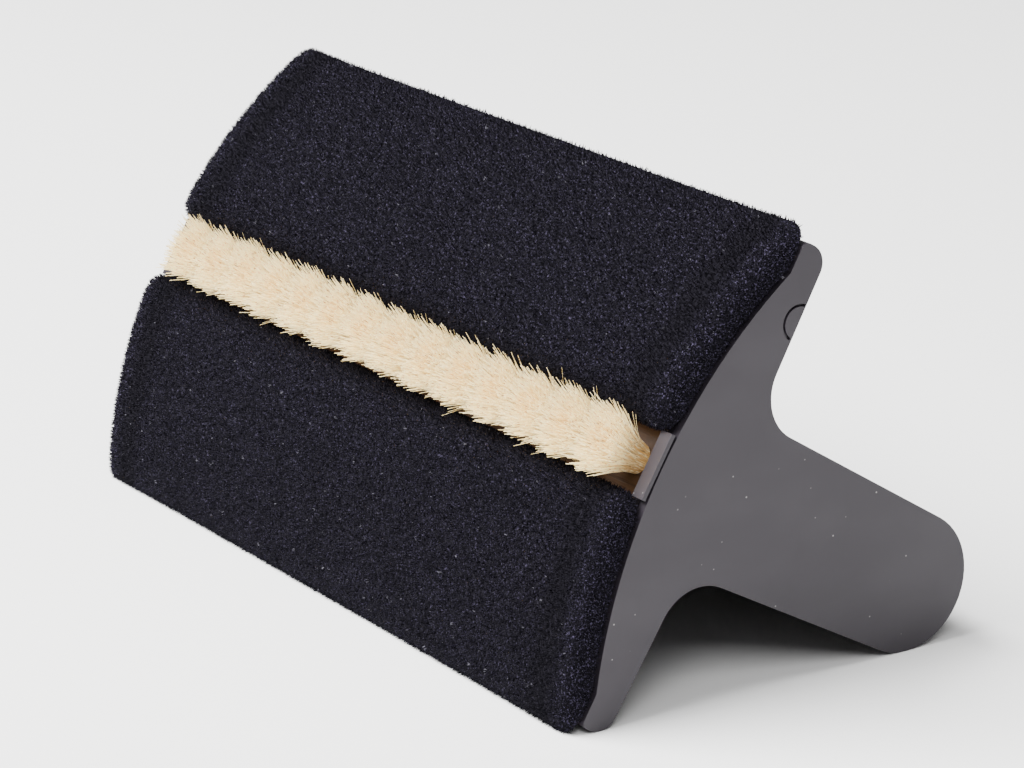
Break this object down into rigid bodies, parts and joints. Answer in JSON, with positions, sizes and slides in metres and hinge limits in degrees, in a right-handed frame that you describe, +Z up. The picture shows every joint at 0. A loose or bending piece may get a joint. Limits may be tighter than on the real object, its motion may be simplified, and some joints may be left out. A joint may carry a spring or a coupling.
{
  "type": "clothes brush",
  "caption": "T-shaped clothes brush: grey plastic body with a flat handle, two bowed velvet lint pads and a central row of bristle tufts.",
  "frame": {"origin": "middle of the footprint, on the surface the brush rests on", "axes": "+X along the brush towards the end with the notch in its upper wing, +Y from the velvet face towards the handle's end, +Z up"},
  "size_m": [0.14, 0.0726, 0.0696],
  "materials": {
    "body_plastic": "satin",
    "block_wood": "raw",
    "bristle": "natural hair",
    "anchor_wire": "plain",
    "velvet": "short pile",
    "foam": "open cell",
    "board": "plain"
  },
  "bodies": {
    "brush": {"body_shell": "body_plastic", "bristle_block": "block_wood", "tuft_01": "bristle", "tuft_02": "bristle", "tuft_03": "bristle", "tuft_04": "bristle", "tuft_05": "bristle", "tuft_06": "bristle", "tuft_07": "bristle", "tuft_08": "bristle", "tuft_09": "bristle", "tuft_10": "bristle", "tuft_11": "bristle", "tuft_12": "bristle", "tuft_13": "bristle", "tuft_14": "bristle", "tuft_anchor_01": "anchor_wire", "tuft_anchor_02": "anchor_wire", "tuft_anchor_03": "anchor_wire", "tuft_anchor_04": "anchor_wire", "tuft_anchor_05": "anchor_wire", "tuft_anchor_06": "anchor_wire", "tuft_anchor_07": "anchor_wire", "tuft_anchor_08": "anchor_wire", "tuft_anchor_09": "anchor_wire", "tuft_anchor_10": "anchor_wire", "tuft_anchor_11": "anchor_wire", "tuft_anchor_12": "anchor_wire", "tuft_anchor_13": "anchor_wire", "tuft_anchor_14": "anchor_wire", "velvet_upper": "velvet", "pad_foam_upper": "foam", "pad_board_upper": "board", "velvet_lower": "velvet", "pad_foam_lower": "foam", "pad_board_lower": "board"},
    "cap_right": {"end_cap_right": "body_plastic"},
    "cap_left": {"end_cap_left": "body_plastic"}
  },
  "joints": [
    {"name": "cap_right_pull", "type": "slide", "parent": "brush", "child": "cap_right", "axis": [1, 0, 0], "range_m": [0, 0.015]},
    {"name": "cap_left_pull", "type": "slide", "parent": "brush", "child": "cap_left", "axis": [-1, 0, 0], "range_m": [0, 0.015]}
  ]
}
